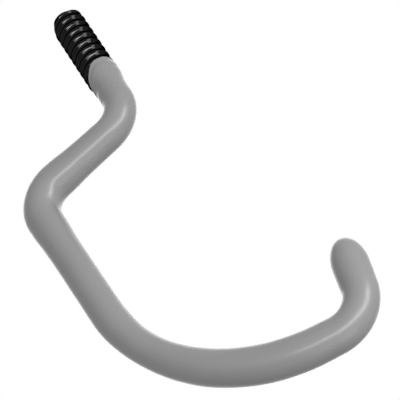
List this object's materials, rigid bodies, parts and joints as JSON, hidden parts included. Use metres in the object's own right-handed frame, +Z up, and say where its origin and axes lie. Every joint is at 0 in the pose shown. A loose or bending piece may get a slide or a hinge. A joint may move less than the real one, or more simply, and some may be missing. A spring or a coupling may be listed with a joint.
{
  "type": "vinyl coated screw hook",
  "caption": "Screw-in storage hook: a bent steel rod with a bare threaded end, dipped in grey vinyl, with a cranked shank and a wide open bowl that ends in a short upturned tip.",
  "frame": {"origin": "on the screw's axis, where the bare thread leaves the coating", "axes": "+Z up along the screw towards its end, the hook's plane is XZ and its mouth opens towards +X"},
  "size_m": [0.0657, 0.0098, 0.1432],
  "materials": {
    "black_steel": "black oxide, rolled thread, lightly oiled",
    "grey_vinyl": "dip moulded, satin"
  },
  "bodies": {
    "root": {"steel_rod": "black_steel", "vinyl_coating": "grey_vinyl"}
  },
  "joints": []
}
